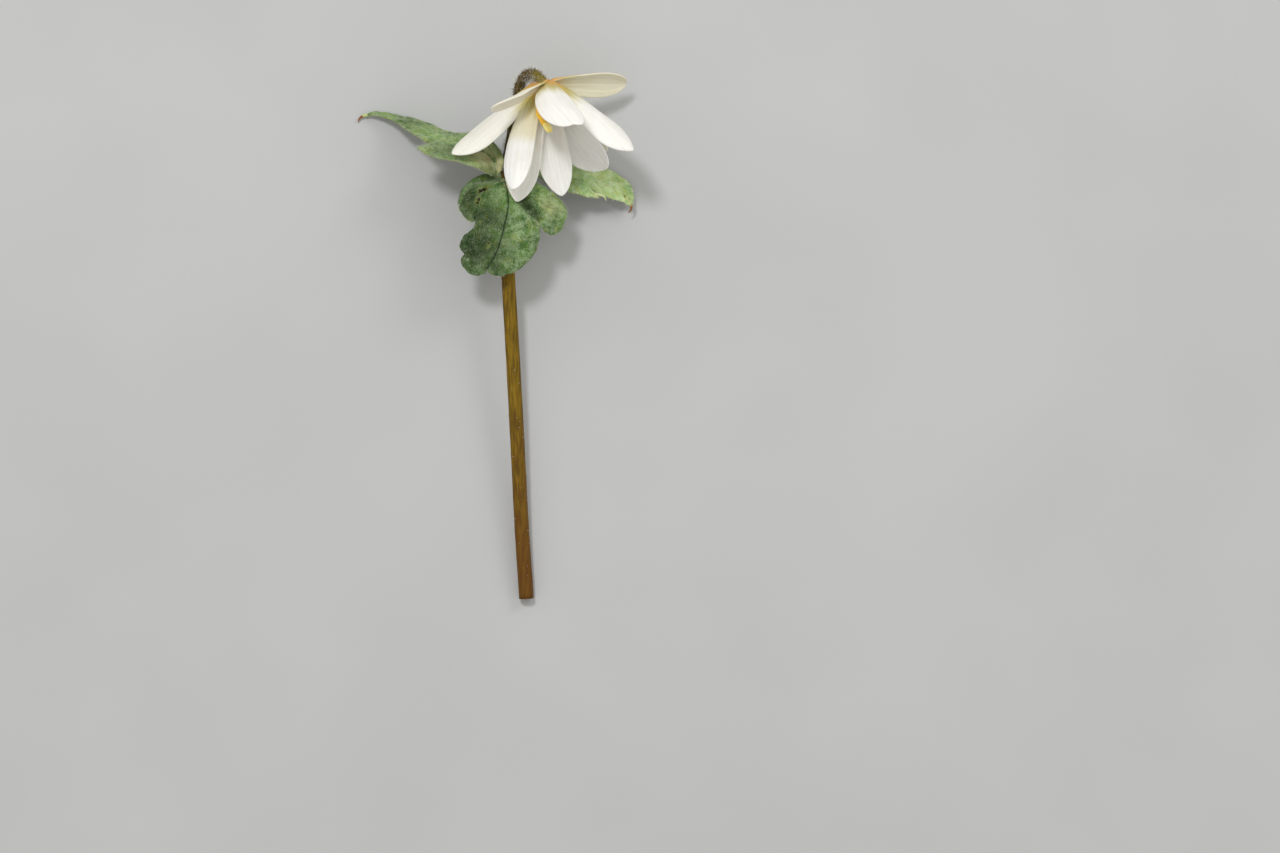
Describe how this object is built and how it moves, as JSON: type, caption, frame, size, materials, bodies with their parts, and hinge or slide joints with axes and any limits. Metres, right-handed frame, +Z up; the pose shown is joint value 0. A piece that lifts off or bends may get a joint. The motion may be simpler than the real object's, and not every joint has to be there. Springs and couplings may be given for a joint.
{
  "type": "anemone flower",
  "caption": "Picked white anemone flower lying on its side: hairy nodding stem, lobed green bracts, slender white tepals round a yellow tuft of stamens.",
  "frame": {"origin": "middle of the bounding box's underside, on the surface that the flower lies on", "axes": "+Z up from the surface, +Y along the stem from its cut end to the flower head, +X to the right when looked down on"},
  "size_m": [0.0444, 0.087, 0.0286],
  "materials": {
    "stem": "hairy olive-brown",
    "bract": "matt frosted green",
    "tepal": "satin white",
    "stamen": "matt yellow",
    "carpel": "matt yellow-green"
  },
  "bodies": {
    "root": {"stem": "stem", "bract_front": "bract", "bract_left": "bract", "bract_right": "bract", "tepal_01": "tepal", "tepal_02": "tepal", "tepal_03": "tepal", "tepal_04": "tepal", "tepal_05": "tepal", "tepal_06": "tepal", "tepal_07": "tepal", "tepal_08": "tepal", "tepal_09": "tepal", "tepal_10": "tepal", "tepal_11": "tepal", "tepal_12": "tepal", "stamens": "stamen", "carpels": "carpel"}
  },
  "joints": []
}
